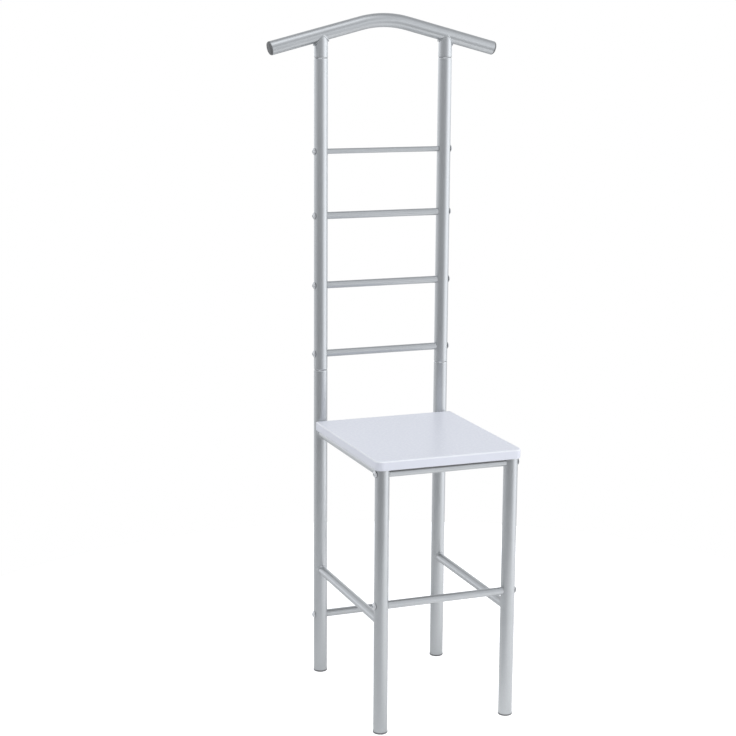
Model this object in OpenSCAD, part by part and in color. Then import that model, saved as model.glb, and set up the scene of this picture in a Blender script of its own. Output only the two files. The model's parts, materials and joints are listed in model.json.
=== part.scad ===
// Clothes valet chair.
// Two welded side frames are bolted together by round cross tubes and carry a
// small board seat. The rear legs run on above the seat, where two swaged back
// posts plug into them. The posts hold four rungs and, on two more plug joints,
// a bent coat hanger.
//
// Millimetres, +Z up. The chair faces -Y, and +X is on the right hand of
// somebody who looks at its front. The origin lies on the floor, under the
// middle of the chair's own box.

/* [Tubes] */
// Outside diameter of the legs, back posts and hanger
post_d = 25; // [22:0.5:28]
// Wall of the legs, back posts and hanger
post_wall = 1.2; // [1:0.1:1.6]
// Outside diameter of the side rails and side stretchers, which are welded in
side_rail_d = 16; // [15:0.5:19]
// Outside diameter of the front rail and the front and rear stretchers, bolted in
cross_rail_d = 13.5; // [12:0.5:15]
// Outside diameter of the three hollow rungs
rung_d = 13; // [12:0.5:16]
// Wall of the rails, stretchers and rungs
rail_wall = 1; // [0.8:0.1:1.2]
// Diameter of the solid top bar
top_bar_d = 9.5; // [8.5:0.5:14]

/* [Footprint] */
// Distance between the axes of the left and right legs
leg_span_x = 240; // [200:5:300]
// Distance between the axes of the front and rear legs
leg_span_y = 314; // [260:2:380]

/* [Seat] */
// Height of the seat's top face above the floor
seat_top_z = 491; // [440:1:520]
// Thickness of the seat board
seat_t = 17; // [16:1:22]
// How far the board stands out past the legs at each side
seat_side_overhang = 2.5; // [0:0.5:10]
// How far the board stands out past the front legs
seat_front_overhang = 4; // [2:0.5:20]
// Gap between the board's back edge and the back posts
seat_back_gap = 2.5; // [1:0.5:8]
// Radius of the board's two front corners, seen from above
seat_corner_r = 12; // [6:1:25]
// Radius of the board's two rear corners, seen from above
seat_rear_corner_r = 3; // [3:1:12]
// Rounding of the board's upper and lower edges
seat_edge_r = 2.5; // [1:0.5:2.5]
// Distance of the seat screws from the leg axes
seat_screw_inset = 62; // [40:1:90]
// Depth that the seat screws reach into the board
seat_screw_grip = 12; // [8:0.5:12.5]

/* [Heights] */
// Axis height of the front stretcher
front_stretcher_z = 232; // [180:1:300]
// Axis height of the two side stretchers
side_stretcher_z = 201.5; // [140:0.5:210]
// Axis height of the rear stretcher
rear_stretcher_z = 112.5; // [60:0.5:160]
// Height of the seam where the back posts plug into the rear legs
leg_seam_z = 585; // [560:1:620]
// Rise from that seam to the axis of the lowest rung
rung_rise = 30; // [20:1:60]
// Distance between the axes of the three hollow rungs
rung_pitch = 127; // [100:1:135]
// Rise from the highest rung to the axis of the top bar
top_bar_rise = 116; // [80:1:135]
// Rise from the top bar to the seam where the hanger plugs into the posts
hanger_seam_rise = 165; // [90:1:185]
// Rise from that seam to the hanger's axis at its middle
hanger_rise = 67; // [60:1:100]

/* [Hanger] */
// Width of the hanger over its end caps
hanger_w = 440; // [400:5:480]
// Fall of each arm below the level
arm_slope = 14.5; // [10:0.5:18]
// Radius of the bend in the middle of the hanger, at the tube's axis
bend_r = 178; // [120:2:220]

/* [Plug joints] */
// Length of the swaged spigot below a seam
spigot_len = 50; // [30:1:60]
// Height of the rounded shoulder that leads from the full diameter to the spigot
swage_h = 3; // [2:0.5:6]
// Radial clearance between a spigot or plug and the bore that it fits
plug_clear = 0.2; // [0.1:0.05:0.3]
// Rounding of an open tube end that takes a spigot
rim_r = 0.9; // [0.4:0.1:0.9]

/* [Glides and caps] */
// Height of a foot glide's flange, below the leg
glide_h = 3; // [2:0.5:6]
// How far a glide's flange stands out past the leg
glide_lip = 0.4; // [0:0.1:1.5]
// Height of a hanger cap's dome, beyond the arm
cap_h = 4; // [3:0.5:8]
// Length of the ribbed stem of a glide or cap
stem_len = 16; // [10:1:25]

/* [Fasteners] */
// Thread diameter of the frame bolts
bolt_d = 6; // [5:0.5:7]
// Diameter of a frame bolt's domed head
bolt_head_d = 12.5; // [11:0.5:14]
// Height of a frame bolt's domed head
bolt_head_h = 3.5; // [2.5:0.5:5]
// Key size of the head's hexagon socket
bolt_key = 4; // [3:0.5:5]
// Depth of the head's hexagon socket
bolt_key_depth = 2; // [1:0.25:2.25]
// Length of the threaded insert in a tube end
insert_len = 16; // [12:1:24]
// Diameter of the seat screws
screw_d = 4; // [3:0.5:5]
// Diameter of a seat screw's head
screw_head_d = 8; // [7:0.5:10]
// Height of a seat screw's head
screw_head_h = 2.4; // [1.6:0.1:4]

/* [Hidden] */
$fn = 96;

silver = "#b9bdc0";
white = "#ecebf2";
zinc = "#d3d6d8";
grey = "#6f7274";

// Small fits, shared by every joint of their kind
cope_gap = 0.1;     // between a coped tube end and the tube that it meets
hole_clear = 0.25;  // around a bolt in a tube wall
thread_clear = 0.1; // around a thread in its insert, bar end or board
insert_gap = 0.1;   // between an insert's face and the upright that it faces
thread_spare = 2;   // length of an insert or pilot hole that its screw leaves free
head_edge_h = 0.9;  // straight edge of a domed head, below its dome
spigot_lead = 0.6;  // chamfer that leads a spigot into its socket
rib_h = 0.5;        // height of the ribs around a plug's stem
rib_count = 4;      // ribs on a stem
plug_wall = 2;      // wall of a hollow stem
plug_floor = 1;     // how far a stem is solid above its flange
eps = 1;            // how far a cutting shape runs past what it cuts
round_steps = 6;    // straight steps in a small rounded edge of a profile
bend_over = 3;      // degrees by which half a bend is swept on, before it is cut

post_r = post_d / 2;
bore_r = post_r - post_wall;
spigot_r = bore_r - plug_clear;
swage_drop = post_r - spigot_r;
swage_round_r = (swage_h * swage_h + swage_drop * swage_drop) / (2 * swage_drop);
left = -leg_span_x / 2;
right = leg_span_x / 2;

// The chair's box runs from the board's front edge to the rear glides
glide_r = post_r + glide_lip;
front_reach = leg_span_y / 2 + post_r + seat_front_overhang;
rear_reach = leg_span_y / 2 + glide_r;
legs_mid_y = (front_reach - rear_reach) / 2;
front = legs_mid_y - leg_span_y / 2;
rear = legs_mid_y + leg_span_y / 2;

seat_under_z = seat_top_z - seat_t;
rail_z = seat_under_z - side_rail_d / 2;
seat_half_w = leg_span_x / 2 + post_r + seat_side_overhang;
seat_front_y = front - post_r - seat_front_overhang;
seat_back_y = rear - post_r - seat_back_gap;
seat_screw_ys = [front + seat_screw_inset, rear - seat_screw_inset];

rung_zs = [for (i = [0 : 2]) leg_seam_z + rung_rise + i * rung_pitch];
top_bar_z = rung_zs[2] + top_bar_rise;
hanger_seam_z = top_bar_z + hanger_seam_rise;
hanger_z = hanger_seam_z + hanger_rise;

// The middle of the hanger is an arc, and each arm is straight from where it
// leaves the arc at arm_x0, arm_z0 to the root of its cap
arm_x0 = bend_r * sin(arm_slope);
arm_z0 = hanger_z - bend_r * (1 - cos(arm_slope));
cap_reach = cap_h + (post_r - cap_h) * sin(arm_slope);
arm_len = (hanger_w / 2 - cap_reach - arm_x0) / cos(arm_slope);

// Where an arm's axis crosses the axis of the back post below it
arm_over_post_z = arm_z0 - (right - arm_x0) * tan(arm_slope);

insert_start = post_r + insert_gap;
bolt_len = post_d + insert_gap + insert_len - thread_spare;
cross_bore_r = cross_rail_d / 2 - rail_wall;
side_bore_r = side_rail_d / 2 - rail_wall;

// A seat screw's head goes up into its rail, until its rim meets the bore
screw_seat_z = rail_z + sqrt(side_bore_r * side_bore_r - screw_head_d * screw_head_d / 4);

// ---- shared shapes ----

// Points on an arc about c, from angle a to angle b
function arc(c, r, a, b) =
    [for (i = [0 : round_steps]) let (t = a + (b - a) * i / round_steps)
        c + r * [cos(t), sin(t)]];

// A rod along +X that starts at the origin
module rod_x(r, length) {
    rotate([0, 90, 0]) cylinder(r = r, h = length);
}

// The left and right copies of a piece that is drawn at the left
module both_sides() {
    children();
    mirror([1, 0, 0]) children();
}

// Rim of an open tube end at height z that takes a spigot, from its outer wall
// to its bore
function socket_rim(z) = concat(
    arc([post_r - rim_r, z - rim_r], rim_r, 0, 90), [[bore_r, z]]);

// Wall of a tube end that is swaged down to a spigot below z = 0, from the bore
// round the spigot to the outer wall
function spigot_wall() = concat(
    [[bore_r, swage_h], [spigot_r - post_wall, 0], [spigot_r - post_wall, -spigot_len],
     [spigot_r - spigot_lead, -spigot_len], [spigot_r, spigot_lead - spigot_len]],
    arc([post_r - swage_round_r, swage_h], swage_round_r, -asin(swage_h / swage_round_r), 0));

// The saddle that a tube end is cut to, where it meets an upright at x, y
module upright_cope(x, y) {
    translate([x, y, -eps]) cylinder(r = post_r + cope_gap, h = hanger_z);
}

// Cross tube between the left and right uprights, coped to both
module cross_tube(d, wall, y, z) {
    difference() {
        translate([left, y, z]) rod_x(d / 2, leg_span_x);
        translate([left - eps, y, z]) rod_x(d / 2 - wall, leg_span_x + 2 * eps);
        upright_cope(left, y);
        upright_cope(right, y);
    }
}

// Side tube between a front and a rear leg, coped to both and welded there
module side_tube(x, z) {
    difference() {
        translate([x, front, z]) rotate([0, 0, 90]) rod_x(side_rail_d / 2, leg_span_y);
        translate([x, front - eps, z])
            rotate([0, 0, 90]) rod_x(side_bore_r, leg_span_y + 2 * eps);
        upright_cope(x, front);
        upright_cope(x, rear);
    }
}

// The hole that a bolt along X needs through an upright at x, y
module bolt_hole(x, y, z) {
    translate([x - post_r - eps, y, z]) rod_x(bolt_d / 2 + hole_clear, post_d + 2 * eps);
}

// Domed head of diameter d and height h, with its underside at z = 0 and its
// dome below
module domed_head(d, h) {
    rise = h - head_edge_h;
    dome_r = (d * d / 4 + rise * rise) / (2 * rise);
    rotate_extrude() intersection() {
        translate([0, -h]) square([d / 2, h]);
        translate([0, dome_r - h]) circle(r = dome_r);
    }
}

// Frame bolt with its head's underside at the origin and its shank along +X
module bolt() {
    rotate([0, 90, 0]) {
        cylinder(d = bolt_d, h = bolt_len);
        difference() {
            domed_head(bolt_head_d, bolt_head_h);
            translate([0, 0, -bolt_head_h - eps])
                cylinder(d = bolt_key / cos(30), h = bolt_key_depth + eps, $fn = 6);
        }
    }
}

// The two bolts of a cross tube, each from outside its upright
module bolt_pair(y, z) {
    color(zinc) both_sides() translate([left - post_r, y, z]) bolt();
}

// The two threaded inserts of a cross tube with the given bore
module insert_pair(tube_bore_r, y, z) {
    color(zinc) both_sides() translate([left + insert_start, y, z]) difference() {
        rod_x(tube_bore_r - thread_clear, insert_len);
        translate([-eps, 0, 0]) rod_x(bolt_d / 2 + thread_clear, insert_len + 2 * eps);
    }
}

// Plastic plug: a ribbed hollow stem above z = 0 that grips in a tube's bore,
// on a flange or dome of radius r and height h whose far edge has radius edge
module tube_plug(r, h, edge) {
    rib_r = bore_r - plug_clear;
    core_r = rib_r - rib_h;
    hollow_r = core_r - plug_wall;
    pitch = stem_len / rib_count;
    ribs = [for (i = [0 : rib_count - 1]) each [
        [core_r, pitch * (i + 0.25)], [rib_r, pitch * (i + 0.5)], [core_r, pitch * (i + 1)]]];
    rotate_extrude() polygon(concat(
        [[0, -h]], arc([r - edge, edge - h], edge, -90, 0),
        [[r, 0], [core_r, 0]], ribs,
        [[hollow_r, stem_len], [hollow_r, plug_floor], [0, plug_floor]]));
}

// ---- legs and side frames ----

module front_leg(x) {
    color(silver) difference() {
        translate([x, front, glide_h]) difference() {
            cylinder(r = post_r, h = seat_under_z - glide_h);
            translate([0, 0, -eps]) cylinder(r = bore_r, h = seat_under_z + eps);
        }
        bolt_hole(x, front, rail_z);
        bolt_hole(x, front, front_stretcher_z);
    }
}

module rear_leg(x) {
    color(silver) difference() {
        translate([x, rear, 0]) rotate_extrude()
            polygon(concat(socket_rim(leg_seam_z), [[bore_r, glide_h], [post_r, glide_h]]));
        bolt_hole(x, rear, rear_stretcher_z);
    }
}

// Side rail under the seat, drilled for the two seat screws: for the shank
// through the upper wall, and for the head through the lower wall
module seat_rail(x) {
    color(silver) difference() {
        side_tube(x, rail_z);
        for (y = seat_screw_ys) translate([x, y, rail_z]) {
            cylinder(d = screw_d + 2 * hole_clear, h = side_rail_d);
            translate([0, 0, -side_rail_d])
                cylinder(d = screw_head_d + 2 * hole_clear, h = side_rail_d);
        }
    }
}

module front_left_leg() front_leg(left);
module front_right_leg() front_leg(right);
module rear_left_leg() rear_leg(left);
module rear_right_leg() rear_leg(right);
module left_seat_rail() seat_rail(left);
module right_seat_rail() seat_rail(right);
module left_stretcher() color(silver) side_tube(left, side_stretcher_z);
module right_stretcher() color(silver) side_tube(right, side_stretcher_z);

// ---- cross tubes of the lower frame ----

module cross_rail(y, z) color(silver) cross_tube(cross_rail_d, rail_wall, y, z);

module front_seat_rail() cross_rail(front, rail_z);
module front_stretcher() cross_rail(front, front_stretcher_z);
module rear_stretcher() cross_rail(rear, rear_stretcher_z);

module front_rail_bolts() bolt_pair(front, rail_z);
module front_stretcher_bolts() bolt_pair(front, front_stretcher_z);
module rear_stretcher_bolts() bolt_pair(rear, rear_stretcher_z);

module front_rail_inserts() insert_pair(cross_bore_r, front, rail_z);
module front_stretcher_inserts() insert_pair(cross_bore_r, front, front_stretcher_z);
module rear_stretcher_inserts() insert_pair(cross_bore_r, rear, rear_stretcher_z);

// ---- seat ----

// Section through an edge of the board, out to x = w, rounded above and below
module board_section(w) {
    polygon(concat(
        [[0, 0]],
        arc([w - seat_edge_r, seat_edge_r], seat_edge_r, -90, 0),
        arc([w - seat_edge_r, seat_t - seat_edge_r], seat_edge_r, 0, 90),
        [[0, seat_t]]));
}

// One end of the board: from its middle out to y = reach, with corners of radius r
module board_end(reach, r) {
    corner_x = seat_half_w - r;
    corner_y = reach - r;
    translate([-corner_x, 0, 0]) rotate([90, 0, 90])
        linear_extrude(2 * corner_x) board_section(reach);
    both_sides() translate([corner_x, corner_y, 0]) rotate_extrude() board_section(r);
    translate([0, corner_y, 0]) rotate([90, 0, 0]) linear_extrude(corner_y) {
        board_section(seat_half_w);
        mirror([1, 0]) board_section(seat_half_w);
    }
}

module board_blank() {
    reach = (seat_back_y - seat_front_y) / 2;
    board_end(reach, seat_rear_corner_r);
    mirror([0, 1, 0]) board_end(reach, seat_corner_r);
}

module seat_board() {
    color(white) difference() {
        translate([0, (seat_front_y + seat_back_y) / 2, seat_under_z]) board_blank();
        for (x = [left, right], y = seat_screw_ys)
            translate([x, y, seat_under_z - eps])
                cylinder(d = screw_d + 2 * thread_clear,
                         h = seat_screw_grip + thread_spare + eps);
    }
}

module seat_screws() {
    color(zinc) for (x = [left, right], y = seat_screw_ys)
        translate([x, y, screw_seat_z]) {
            cylinder(d = screw_d, h = seat_under_z + seat_screw_grip - screw_seat_z);
            domed_head(screw_head_d, screw_head_h);
        }
}

// ---- ladder back ----

module back_post(x) {
    color(silver) difference() {
        translate([x, rear, leg_seam_z]) rotate_extrude()
            polygon(concat(socket_rim(hanger_seam_z - leg_seam_z), spigot_wall()));
        for (z = concat(rung_zs, top_bar_z)) bolt_hole(x, rear, z);
    }
}

module rung(i) color(silver) cross_tube(rung_d, rail_wall, rear, rung_zs[i]);

// The top bar is solid, with a tapped hole in each end
module top_bar() {
    color(silver) difference() {
        cross_tube(top_bar_d, top_bar_d / 2, rear, top_bar_z);
        both_sides() translate([left, rear, top_bar_z])
            rod_x(bolt_d / 2 + thread_clear, insert_start + insert_len);
    }
}

module left_back_post() back_post(left);
module right_back_post() back_post(right);
module lower_rung() rung(0);
module middle_rung() rung(1);
module upper_rung() rung(2);

module lower_rung_bolts() bolt_pair(rear, rung_zs[0]);
module middle_rung_bolts() bolt_pair(rear, rung_zs[1]);
module upper_rung_bolts() bolt_pair(rear, rung_zs[2]);
module top_bar_bolts() bolt_pair(rear, top_bar_z);
module rung_inserts() for (z = rung_zs) insert_pair(rung_d / 2 - rail_wall, rear, z);

// ---- hanger ----

// Frame at the centre of the bend, turned so that the left arm leaves the bend
// at [bend_r, 0, 0] and runs along -Y
module bend_frame() {
    translate([0, rear, hanger_z - bend_r]) rotate([-90, 0, 0])
        rotate([0, 0, -90 - arm_slope]) children();
}

// Frame at the root of the left cap, with +Z up along the arm
module arm_frame() {
    bend_frame() translate([bend_r, -arm_len, 0]) rotate([-90, 0, 0]) children();
}

module hanger_section() {
    difference() {
        circle(r = post_r);
        circle(r = bore_r);
    }
}

// One tube, bent in the middle. Each half is cut off square at x = 0
module hanger_tube() {
    color(silver) both_sides() intersection() {
        union() {
            bend_frame() rotate_extrude(angle = arm_slope + bend_over)
                translate([bend_r, 0]) hanger_section();
            arm_frame() linear_extrude(arm_len) hanger_section();
        }
        translate([-hanger_w, rear - post_d, hanger_z - hanger_w])
            cube([hanger_w, 2 * post_d, 2 * hanger_w]);
    }
}

// Short tube under an arm: coped and welded to it above, swaged below
module hanger_stub() {
    top = arm_over_post_z - hanger_seam_z - post_wall;
    color(silver) difference() {
        translate([left, rear, hanger_seam_z]) rotate_extrude()
            polygon(concat([[post_r, top], [bore_r, top]], spigot_wall()));
        arm_frame() translate([0, 0, -arm_len])
            cylinder(r = post_r + cope_gap, h = 3 * arm_len);
    }
}

module left_hanger_stub() hanger_stub();
module right_hanger_stub() mirror([1, 0, 0]) hanger_stub();

module left_hanger_cap() color(grey) arm_frame() tube_plug(post_r, cap_h, cap_h);
module right_hanger_cap() mirror([1, 0, 0]) left_hanger_cap();

// ---- foot glides ----

module glide(x, y) {
    color(grey) translate([x, y, glide_h]) tube_plug(glide_r, glide_h, glide_h / 2);
}

module front_left_glide() glide(left, front);
module front_right_glide() glide(right, front);
module rear_left_glide() glide(left, rear);
module rear_right_glide() glide(right, rear);

front_left_leg();
front_right_leg();
rear_left_leg();
rear_right_leg();
left_seat_rail();
right_seat_rail();
left_stretcher();
right_stretcher();
front_seat_rail();
front_stretcher();
rear_stretcher();
seat_board();
seat_screws();
left_back_post();
right_back_post();
lower_rung();
middle_rung();
upper_rung();
top_bar();
hanger_tube();
left_hanger_stub();
right_hanger_stub();
left_hanger_cap();
right_hanger_cap();
front_left_glide();
front_right_glide();
rear_left_glide();
rear_right_glide();
front_rail_bolts();
front_stretcher_bolts();
rear_stretcher_bolts();
lower_rung_bolts();
middle_rung_bolts();
upper_rung_bolts();
top_bar_bolts();
front_rail_inserts();
front_stretcher_inserts();
rear_stretcher_inserts();
rung_inserts();
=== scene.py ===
"""Clothes valet chair: its finishes and weld beads, the camera and the studio."""

import json
import math
import random

import bmesh
import bpy
from mathutils import Matrix, Vector


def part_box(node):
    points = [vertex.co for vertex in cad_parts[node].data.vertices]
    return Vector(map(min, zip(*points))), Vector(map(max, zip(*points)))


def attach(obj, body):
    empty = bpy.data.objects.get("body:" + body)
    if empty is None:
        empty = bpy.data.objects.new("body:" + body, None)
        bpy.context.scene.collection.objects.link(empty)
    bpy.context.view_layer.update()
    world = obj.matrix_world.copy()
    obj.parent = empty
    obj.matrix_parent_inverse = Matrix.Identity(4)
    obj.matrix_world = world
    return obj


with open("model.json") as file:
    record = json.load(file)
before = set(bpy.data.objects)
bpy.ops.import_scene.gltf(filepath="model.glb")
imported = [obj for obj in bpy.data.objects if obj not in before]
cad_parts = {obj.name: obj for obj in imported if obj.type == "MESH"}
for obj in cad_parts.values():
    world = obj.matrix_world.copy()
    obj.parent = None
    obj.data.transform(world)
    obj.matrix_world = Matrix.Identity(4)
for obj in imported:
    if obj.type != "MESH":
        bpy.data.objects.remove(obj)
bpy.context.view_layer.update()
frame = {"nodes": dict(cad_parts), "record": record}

MM = 0.001
TAU = 2 * math.pi
WHITE = (1, 1, 1, 1)


def place_object(name, data):
    """A new object in the scene, at the frame's origin."""
    thing = bpy.data.objects.new(name, data)
    bpy.context.scene.collection.objects.link(thing)
    return thing


# ---- camera, as fitted to the photograph ----

PHOTO_PX = 736
CAMERA_PLACE = Vector((-1.1703, -2.8235, 1.2347))
CAMERA_AZIMUTH = math.radians(20.981)
CAMERA_ELEVATION = math.radians(11.558)
CAMERA_ROLL = math.radians(0.372)
FOCAL_PX = 1751.3
SENSOR_MM = 36.0
FURTHEST_SEEN = 100.0


def add_camera():
    """The camera, set back and turned down towards the chair, and rolled a little."""
    level = math.cos(CAMERA_ELEVATION)
    forward = Vector((math.sin(CAMERA_AZIMUTH) * level, math.cos(CAMERA_AZIMUTH) * level,
                      -math.sin(CAMERA_ELEVATION)))
    right = Vector((math.cos(CAMERA_AZIMUTH), -math.sin(CAMERA_AZIMUTH), 0.0))
    up = right.cross(forward)
    turned_right = right * math.cos(CAMERA_ROLL) + up * math.sin(CAMERA_ROLL)
    turned_up = up * math.cos(CAMERA_ROLL) - right * math.sin(CAMERA_ROLL)
    data = bpy.data.cameras.new("photo_camera")
    data.sensor_width = SENSOR_MM
    data.lens = FOCAL_PX / PHOTO_PX * SENSOR_MM
    data.clip_end = FURTHEST_SEEN
    camera = place_object("photo_camera", data)
    turn = Matrix((turned_right, turned_up, -forward)).transposed().to_4x4()
    camera.matrix_world = Matrix.Translation(CAMERA_PLACE) @ turn
    bpy.context.scene.camera = camera


# ---- shader nodes ----

def add_node(tree, kind, values=None, **settings):
    """A shader node with its settings, and with the named inputs linked or set."""
    node = tree.nodes.new(kind)
    for key, value in settings.items():
        setattr(node, key, value)
    for key, value in (values or {}).items():
        if isinstance(value, bpy.types.NodeSocket):
            tree.links.new(value, node.inputs[key])
        else:
            node.inputs[key].default_value = value
    return node


def maths(tree, operation, first, second=0.0, third=0.0):
    node = add_node(tree, "ShaderNodeMath", {0: first, 1: second, 2: third}, operation=operation)
    return node.outputs[0]


def object_place(tree):
    """Where a point of the surface lies on the piece, in metres."""
    return add_node(tree, "ShaderNodeTexCoord").outputs["Object"]


def height_of(tree, place):
    return add_node(tree, "ShaderNodeSeparateXYZ", {0: place}).outputs["Z"]


def share_towards(tree, way, direction):
    """How far a direction or place lies towards a unit vector."""
    return add_node(tree, "ShaderNodeVectorMath", {0: way, 1: direction},
                    operation="DOT_PRODUCT").outputs["Value"]


def smooth_ramp(tree, value, ends):
    """Value eased between two ends, given as inputs of a Map Range node."""
    return add_node(tree, "ShaderNodeMapRange", {"Value": value, **ends},
                    interpolation_type="SMOOTHSTEP").outputs[0]


def seen_by_camera(tree):
    return add_node(tree, "ShaderNodeLightPath").outputs["Is Camera Ray"]


def new_material(name):
    material = bpy.data.materials.new(name)
    material.use_nodes = True
    shader = material.node_tree.nodes["Principled BSDF"]
    return material, material.node_tree, shader


# ---- studio ----

ROOM_TINT = (0.975, 0.995, 1.03, 1)
WORLD_AMBIENT = 0.33
# Each broad light: turn from the camera's side towards the chair's right, height
# (both in degrees), strength and tightness
BROAD_LIGHTS = {
    "key": (84.0, 0.0, 1.42, 3.4),
    "fill": (-112.0, 4.0, 0.50, 3.0),
    "backdrop": (180.0, 6.0, 0.40, 2.0),
    "overhead": (-10.0, 60.0, 2.3, 10.0),
}
# A bright strip all round at the height of the horizon, where the backdrops stand
STRIP_STRENGTH = 0.9
STRIP_TIGHTNESS = 25.0

FLOOR_R = 1.1
FLOOR_SIDES = 96
FLOOR_TONE = (0.82, 0.82, 0.82, 1)
FLOOR_ROUGHNESS = 0.9
FLOOR_GLOSS = 0.1
# Glow that the camera alone sees, so that the floor's rim is lost in the white behind it
FLOOR_GLOW = 0.55
# Painted light: glow towards the key light, a pool of light painted on the floor, which grows over
# this stretch measured from the chair's middle
LIT_SIDE_START = -0.10
LIT_SIDE_END = 0.45
LIT_SIDE_GLOW = 0.45
# Painted light: glow under the seat, which lifts the seat's shade there and ends at this reach
# from the middle
SHADE_REACH = 0.50
SHADE_LIFT = 0.25


def light_direction(turn, height):
    """Unit vector towards a light that stands this far round from the camera."""
    azimuth = CAMERA_AZIMUTH - math.radians(turn)
    level = math.cos(math.radians(height))
    return (-math.sin(azimuth) * level, -math.cos(azimuth) * level, math.sin(math.radians(height)))


def add_world():
    """White behind the chair; for reflections, a few broad soft lights in a dim room."""
    world = bpy.data.worlds.new("studio")
    bpy.context.scene.world = world
    world.use_nodes = True
    tree = world.node_tree
    tree.nodes.clear()
    way = add_node(tree, "ShaderNodeTexCoord").outputs["Generated"]
    total = WORLD_AMBIENT
    for turn, height, strength, tightness in BROAD_LIGHTS.values():
        facing = share_towards(tree, way, light_direction(turn, height))
        lobe = maths(tree, "POWER", maths(tree, "MAXIMUM", facing), tightness)
        total = maths(tree, "MULTIPLY_ADD", lobe, strength, total)
    level = maths(tree, "SUBTRACT", 1.0, maths(tree, "ABSOLUTE", height_of(tree, way)))
    strip = maths(tree, "POWER", level, STRIP_TIGHTNESS)
    total = maths(tree, "MULTIPLY_ADD", strip, STRIP_STRENGTH, total)
    room = add_node(tree, "ShaderNodeBackground", {"Color": ROOM_TINT, "Strength": total})
    backdrop = add_node(tree, "ShaderNodeBackground", {"Color": WHITE})
    mix = add_node(tree, "ShaderNodeMixShader",
                   {0: seen_by_camera(tree), 1: room.outputs[0], 2: backdrop.outputs[0]})
    add_node(tree, "ShaderNodeOutputWorld", {"Surface": mix.outputs[0]})


def pale_floor():
    """Matt white floor that glows a little, with painted light, as if lit by more than the world's
    own light.
    """
    material, tree, shader = new_material("pale_floor")
    shader.inputs["Base Color"].default_value = FLOOR_TONE
    shader.inputs["Roughness"].default_value = FLOOR_ROUGHNESS
    shader.inputs["Specular IOR Level"].default_value = FLOOR_GLOSS
    shader.inputs["Emission Color"].default_value = WHITE
    place = object_place(tree)
    key_turn, key_height = BROAD_LIGHTS["key"][:2]
    # Painted light: the floor glows brighter towards the key and under the seat
    across = share_towards(tree, place, light_direction(key_turn, key_height))
    painted_key_pool = smooth_ramp(tree, across, {"From Min": LIT_SIDE_START, "From Max": LIT_SIDE_END,
                                          "To Max": LIT_SIDE_GLOW})
    from_middle = add_node(tree, "ShaderNodeVectorMath", {0: place}, operation="LENGTH")
    painted_lift_under_seat = smooth_ramp(tree, from_middle.outputs["Value"],
                             {"From Max": SHADE_REACH, "To Min": SHADE_LIFT, "To Max": 0.0})
    glow = maths(tree, "ADD", painted_key_pool, painted_lift_under_seat)
    tree.links.new(maths(tree, "MULTIPLY_ADD", seen_by_camera(tree), FLOOR_GLOW, glow),
                   shader.inputs["Emission Strength"])
    return material


def add_floor():
    bm = bmesh.new()
    bmesh.ops.create_circle(bm, cap_ends=True, segments=FLOOR_SIDES, radius=FLOOR_R)
    mesh = bpy.data.meshes.new("floor")
    bm.to_mesh(mesh)
    bm.free()
    mesh.materials.append(pale_floor())
    floor = place_object("floor", mesh)


def add_studio():
    bpy.context.scene.view_settings.view_transform = "Standard"
    add_world()
    add_floor()


# ---- patterns and mixes that the finishes share ----

MIDDLE = 0.5             # of a noise, which runs from 0 to 1
# A band's reach varies in patches, from this share of it up by this spread
BAND_LEAST = 0.7
BAND_SPREAD = 0.6
BAND_PATCH_SCALE = 220.0
BAND_CORE = 0.7          # share of the reach that has the band's full strength


def new_group(name, inputs, outputs):
    """An empty node group with float inputs and float outputs."""
    group = bpy.data.node_groups.new(name, "ShaderNodeTree")
    for key in inputs:
        group.interface.new_socket(key, in_out="INPUT", socket_type="NodeSocketFloat")
    for key in outputs:
        group.interface.new_socket(key, in_out="OUTPUT", socket_type="NodeSocketFloat")
    return group, group.nodes.new("NodeGroupInput"), group.nodes.new("NodeGroupOutput")


def cloudy_film_group():
    """Slow, soft change in how thickly a finish lies: Tone runs from 0 to 1."""
    group, given, result = new_group("cloudy_film", ["Scale", "Contrast"], ["Tone"])
    noise = add_node(group, "ShaderNodeTexNoise",
                     {"Vector": object_place(group), "Scale": given.outputs["Scale"],
                      "Detail": 3.0, "Roughness": 0.55})
    centred = maths(group, "SUBTRACT", noise.outputs["Fac"], MIDDLE)
    spread = maths(group, "MULTIPLY_ADD", centred, given.outputs["Contrast"], MIDDLE)
    tone = add_node(group, "ShaderNodeClamp", {"Value": spread}).outputs[0]
    group.links.new(tone, result.inputs["Tone"])
    return group


def fine_skin_group():
    """Small-scale relief of a sprayed, plated or moulded skin, as a height in millimetres."""
    group, given, result = new_group(
        "fine_skin", ["Peel Scale", "Peel Depth", "Grain Scale", "Grain Depth"], ["Height"])
    place = object_place(group)
    peel = add_node(group, "ShaderNodeTexNoise",
                    {"Vector": place, "Scale": given.outputs["Peel Scale"], "Detail": 1.0})
    grain = add_node(group, "ShaderNodeTexNoise",
                     {"Vector": place, "Scale": given.outputs["Grain Scale"], "Detail": 0.0})
    swell = maths(group, "MULTIPLY", peel.outputs["Fac"], given.outputs["Peel Depth"])
    height = maths(group, "MULTIPLY_ADD", grain.outputs["Fac"], given.outputs["Grain Depth"],
                   swell)
    group.links.new(height, result.inputs["Height"])
    return group


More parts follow.
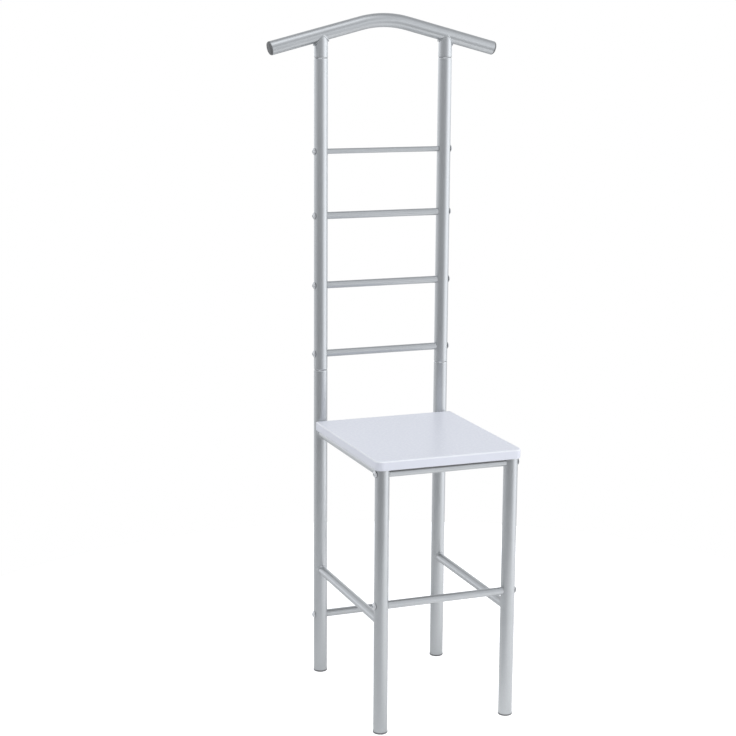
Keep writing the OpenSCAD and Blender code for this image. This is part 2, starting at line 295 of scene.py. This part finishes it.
def wear_and_highlight_band_group():
    """A level band with patchy rims, for wear and a painted highlight at the seams, and for a
    painted highlight at the board's edge: Mask is 1 round its Height.
    """
    group, given, result = new_group("wear_and_highlight_band", ["Height", "Reach"], ["Mask"])
    place = object_place(group)
    away = maths(group, "ABSOLUTE",
                 maths(group, "SUBTRACT", height_of(group, place), given.outputs["Height"]))
    patchy = add_node(group, "ShaderNodeTexNoise",
                      {"Vector": place, "Scale": BAND_PATCH_SCALE, "Detail": 3.0}).outputs["Fac"]
    reach = maths(group, "MULTIPLY", given.outputs["Reach"],
                  maths(group, "MULTIPLY_ADD", patchy, BAND_SPREAD, BAND_LEAST))
    fade = smooth_ramp(group, away, {"From Min": maths(group, "MULTIPLY", reach, BAND_CORE),
                                     "From Max": reach, "To Min": 1.0, "To Max": 0.0})
    group.links.new(fade, result.inputs["Mask"])
    return group


def place_group(tree, group, values):
    return add_node(tree, "ShaderNodeGroup", values, node_tree=group).outputs[0]


def blend(tree, factor, low, high):
    """Colour between low and high, by a mask."""
    node = add_node(tree, "ShaderNodeMix", {"Factor": factor}, data_type="RGBA")
    for socket, colour in zip([i for i in node.inputs if i.type == "RGBA"], (low, high)):
        if isinstance(colour, bpy.types.NodeSocket):
            tree.links.new(colour, socket)
        else:
            socket.default_value = (*colour, 1)
    return next(o for o in node.outputs if o.type == "RGBA")


def span(tree, factor, low, high):
    """Value between low and high, by a mask."""
    return add_node(tree, "ShaderNodeMapRange",
                    {"Value": factor, "To Min": low, "To Max": high}).outputs[0]


def add_bump(tree, shader, height):
    bump = add_node(tree, "ShaderNodeBump", {"Height": height, "Distance": MM})
    tree.links.new(bump.outputs[0], shader.inputs["Normal"])


# ---- finishes ----

# Each finish: its clouds, its two tones and roughnesses at the clouds' ends, and its skin,
# whose scales are per metre and whose depths are in millimetres
FINISH_VALUES = {
    "silver_coat": {
        "cloud": {"Scale": 18.0, "Contrast": 1.4},
        "tones": ((0.490, 0.506, 0.516), (0.545, 0.558, 0.566)),
        "roughness": (0.29, 0.36),
        "skin": {"Peel Scale": 260.0, "Peel Depth": 0.012,
                 "Grain Scale": 2200.0, "Grain Depth": 0.004},
    },
    "white_film": {
        "cloud": {"Scale": 9.0, "Contrast": 1.2},
        "tones": ((0.795, 0.812, 0.885), (0.820, 0.836, 0.905)),
        "roughness": (0.28, 0.35),
        "skin": {"Peel Scale": 700.0, "Peel Depth": 0.02,
                 "Grain Scale": 2600.0, "Grain Depth": 0.006},
    },
    "bright_zinc": {
        "cloud": {"Scale": 420.0, "Contrast": 1.8},
        "tones": ((0.70, 0.715, 0.735), (0.80, 0.805, 0.810)),
        "roughness": (0.22, 0.34),
        "skin": {"Peel Scale": 900.0, "Peel Depth": 0.006,
                 "Grain Scale": 4000.0, "Grain Depth": 0.003},
    },
    "grey_moulding": {
        "cloud": {"Scale": 60.0, "Contrast": 1.5},
        "tones": ((0.150, 0.152, 0.155), (0.185, 0.187, 0.190)),
        "roughness": (0.45, 0.58),
        "skin": {"Peel Scale": 1500.0, "Peel Depth": 0.02,
                 "Grain Scale": 3500.0, "Grain Depth": 0.01},
    },
}

# Flake in the silver: its fineness, its darkest and brightest, and its share of the colour
FLAKE_SCALE = 1800.0
FLAKE_TONES = ((0.465, 0.482, 0.492), (0.575, 0.590, 0.600))
FLAKE_SHARE = 0.45
SILVER_METALLIC = 0.85
CLEAR_COAT = 0.5
CLEAR_COAT_ROUGHNESS = 0.08
# The rims of the plugged seams, smoother from rubbing and paler, partly as worn bare metal and
# partly as a painted highlight for their glint
SEAM_RIM_REACH = 1.5 * MM
RUB_WEAR_AND_GLINT_TONE = (0.64, 0.65, 0.66)
RUBBED_POLISH = 0.12
ZINC_METALLIC = 1.0

# Painted highlight: a paler strip round the board's upper edge, its middle this far below the top
# face
EDGE_DROP = 1.3 * MM
EDGE_REACH = 1.4 * MM
EDGE_HIGHLIGHT_TONE = (0.93, 0.945, 0.985)
# Painted shade: the board's underside darkened, standing in for the shade under the seat
UNDERSIDE_REACH = 0.1 * MM
UNDERSIDE_SHADE_TONE = (0.27, 0.262, 0.255)


def clouded_finish(name, groups):
    """A material with its skin in place, and its clouded tone and roughness to be laid."""
    values = FINISH_VALUES[name]
    material, tree, shader = new_material(name)
    cloud = place_group(tree, groups["cloudy_film"], values["cloud"])
    tone = blend(tree, cloud, *values["tones"])
    roughness = span(tree, cloud, *values["roughness"])
    add_bump(tree, shader, place_group(tree, groups["fine_skin"], values["skin"]))
    return material, tree, shader, tone, roughness


def lay_film(tree, shader, tone, roughness):
    tree.links.new(tone, shader.inputs["Base Color"])
    tree.links.new(roughness, shader.inputs["Roughness"])


def seam_heights():
    """Heights of the two rows of plugged seams, whose edges hands and tools rub, and whose rims
    carry a painted highlight.
    """
    return [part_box(lower)[1][2] for lower in ("rear_left_leg", "left_back_post")]


def silver_coat(groups):
    """Satin silver paint on steel tube: fine flake in a clear film."""
    material, tree, shader, film, satin = clouded_finish("silver_coat", groups)
    flake = add_node(tree, "ShaderNodeTexVoronoi",
                     {"Vector": object_place(tree), "Scale": FLAKE_SCALE})
    flake_tone = add_node(tree, "ShaderNodeSeparateColor", {0: flake.outputs["Color"]}).outputs[0]
    coat = blend(tree, FLAKE_SHARE, film, blend(tree, flake_tone, *FLAKE_TONES))
    # Painted highlight: the seams' rims are paler, partly as worn metal, and smoother
    bands = [place_group(tree, groups["wear_and_highlight_band"], {"Height": height, "Reach": SEAM_RIM_REACH})
             for height in seam_heights()]
    rub_wear_and_glint = maths(tree, "MAXIMUM", *bands)
    lay_film(tree, shader, blend(tree, rub_wear_and_glint, coat, RUB_WEAR_AND_GLINT_TONE),
             maths(tree, "MULTIPLY_ADD", rub_wear_and_glint, -RUBBED_POLISH, satin))
    shader.inputs["Metallic"].default_value = SILVER_METALLIC
    shader.inputs["Coat Weight"].default_value = CLEAR_COAT
    shader.inputs["Coat Roughness"].default_value = CLEAR_COAT_ROUGHNESS
    return material


def white_film(groups):
    """Satin white film with a faint cool tint, with a painted highlight as a paler strip round the
    upper edge, and painted shade below the board.
    """
    material, tree, shader, film, satin = clouded_finish("white_film", groups)
    underside_z, top_z = (corner[2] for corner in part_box("seat_board"))
    # Painted highlight along the board's upper edge
    edge = place_group(tree, groups["wear_and_highlight_band"],
                       {"Height": top_z - EDGE_DROP, "Reach": EDGE_REACH})
    # Painted shade: the face under the board is darkened
    underside = maths(tree, "LESS_THAN", height_of(tree, object_place(tree)),
                      underside_z + UNDERSIDE_REACH)
    with_edge_highlight = blend(tree, edge, film, EDGE_HIGHLIGHT_TONE)
    lay_film(tree, shader, blend(tree, underside, with_edge_highlight, UNDERSIDE_SHADE_TONE), satin)
    return material


def bright_zinc(groups):
    """Zinc-plated fasteners: bright, with the mottle of the plating."""
    material, tree, shader, plating, polish = clouded_finish("bright_zinc", groups)
    lay_film(tree, shader, plating, polish)
    shader.inputs["Metallic"].default_value = ZINC_METALLIC
    return material


def grey_moulding(groups):
    """Dark grey moulded plastic of the glides and caps, with a fine matt grain."""
    material, tree, shader, plastic, matt = clouded_finish("grey_moulding", groups)
    lay_film(tree, shader, plastic, matt)
    return material


def dress_nodes():
    """Gives every solid the finish of its slot, and returns the finishes by slot."""
    groups = {"cloudy_film": cloudy_film_group(), "fine_skin": fine_skin_group(),
              "wear_and_highlight_band": wear_and_highlight_band_group()}
    finishes = {
        "silver_tube": silver_coat(groups),
        "white_board": white_film(groups),
        "zinc_fastener": bright_zinc(groups),
        "grey_plastic": grey_moulding(groups),
    }
    for part in frame["record"]["subparts"]:
        node = frame["nodes"][part["node"]]
        node.data.materials.clear()
        node.data.materials.append(finishes[part["material_slot"]])
    return finishes


# ---- welds ----

BEAD_R = 2.1 * MM
BEAD_SIDES = 12
RIPPLE_PITCH = 1.6 * MM
STEPS_PER_RIPPLE = 4
# How much the bead's thickness ripples and wanders, as shares of its radius
RIPPLE_DEPTH = 0.035
WANDER_DEPTH = 0.13
# The wander is two waves: how many of each go round the ring, and its share of the whole
SLOW_WAVES = 2
SLOW_SHARE = 0.6
QUICK_WAVES = 5
QUICK_SHARE = 0.4
WANDER_SEED = 12

# No two faces of a bead lie equally far along this slant, so it puts them in one fixed order
ORDER_SLANT = Vector((1.0, 0.618, 0.271))

FLUSH_FLATTENING = 0.85  # of a bead where two tubes of one size meet flush
PEAK_ROUNDING = 1.6 * MM  # of the corner under an arm, which comes to a peak at x = 0
# The hanger's arms slope like this, and each stub ends one wall below their centre line
ARM_SLOPE = math.radians(14.5)
POST_WALL = 1.2 * MM


def weld_bead(name, tube_r, place, turn, saddle, coat, dice, flattening=0.0):
    """Rippled bead round a tube end that is coped to another tube.

    The ring is drawn round +Z, which runs along the tube, and saddle(x) says how far
    the corner between the two tubes lies along it. Tubes of one size meet flush at the
    ends of the ring's Y, and the bead lies flatter there by the share given."""
    ripples = round(TAU * tube_r / RIPPLE_PITCH)
    bm = bmesh.new()
    ring = bmesh.ops.create_circle(bm, segments=BEAD_SIDES, radius=BEAD_R,
                                   matrix=Matrix.Rotation(math.pi / 2, 4, "X"))
    bmesh.ops.translate(bm, verts=ring["verts"], vec=(tube_r, 0, 0))
    bmesh.ops.spin(bm, geom=bm.verts[:] + bm.edges[:], cent=(0, 0, 0), axis=(0, 0, 1),
                   dvec=(0, 0, 0), angle=TAU, steps=ripples * STEPS_PER_RIPPLE,
                   use_merge=True, use_duplicate=False)
    slow, quick = dice.uniform(0, TAU), dice.uniform(0, TAU)
    for vert in bm.verts:
        angle = math.atan2(vert.co.y, vert.co.x)
        spine = Vector((math.cos(angle), math.sin(angle), 0)) * tube_r
        wander = (SLOW_SHARE * math.sin(SLOW_WAVES * angle + slow)
                  + QUICK_SHARE * math.sin(QUICK_WAVES * angle + quick))
        scale = 1 + RIPPLE_DEPTH * math.cos(ripples * angle) + WANDER_DEPTH * wander
        offset = (vert.co - spine) * scale
        outward = spine.normalized()
        offset -= outward * offset.dot(outward) * flattening * math.sin(angle) ** 2
        vert.co = spine + offset
        vert.co.z += saddle(vert.co.x)
    bm.faces.sort(key=lambda face: face.calc_center_median().dot(ORDER_SLANT))
    bmesh.ops.recalc_face_normals(bm, faces=bm.faces[:])
    for face in bm.faces:
        face.smooth = True
    bm.transform(Matrix.Translation(place) @ turn)
    mesh = bpy.data.meshes.new(name)
    bm.to_mesh(mesh)
    bm.free()
    mesh.materials.append(coat)
    bead = place_object(name, mesh)
    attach(bead, "root")


def add_side_frame_welds(coat, dice):
    """Beads where the side rails and stretchers meet the legs."""
    for side in ("left", "right"):
        for tube in (f"{side}_seat_rail", f"{side}_stretcher"):
            low, high = (Vector(c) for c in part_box(tube))
            tube_r = (high.x - low.x) / 2
            for end, toward_tube in (("front", -1), ("rear", 1)):
                leg_low, leg_high = (Vector(c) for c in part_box(f"{end}_{side}_leg"))
                leg_r = (leg_high.x - leg_low.x) / 2
                leg_mid = (leg_low + leg_high) / 2
                place = Vector((leg_mid.x, leg_mid.y, (low.z + high.z) / 2))
                weld_bead(f"{tube}_{end}_weld", tube_r, place,
                          Matrix.Rotation(toward_tube * math.pi / 2, 4, "X"),
                          lambda x: math.sqrt(leg_r ** 2 - x ** 2), coat, dice)


def add_hanger_welds(coat, dice):
    """Beads where the two stubs meet the hanger's sloping arms, laid flat over the peaks."""
    for side, outward in (("left", -1), ("right", 1)):
        low, high = (Vector(c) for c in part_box(f"{side}_hanger_stub"))
        place = Vector(((low.x + high.x) / 2, (low.y + high.y) / 2, high.z + POST_WALL))
        weld_bead(f"{side}_hanger_weld", (high.x - low.x) / 2, place,
                  Matrix.Rotation(math.pi, 4, "X"),
                  lambda x: (math.hypot(x, PEAK_ROUNDING)
                             + outward * x * math.sin(ARM_SLOPE)) / math.cos(ARM_SLOPE),
                  coat, dice, FLUSH_FLATTENING)


add_camera()
add_studio()
finishes = dress_nodes()
dice = random.Random(WANDER_SEED)
add_side_frame_welds(finishes["silver_tube"], dice)
add_hanger_welds(finishes["silver_tube"], dice)
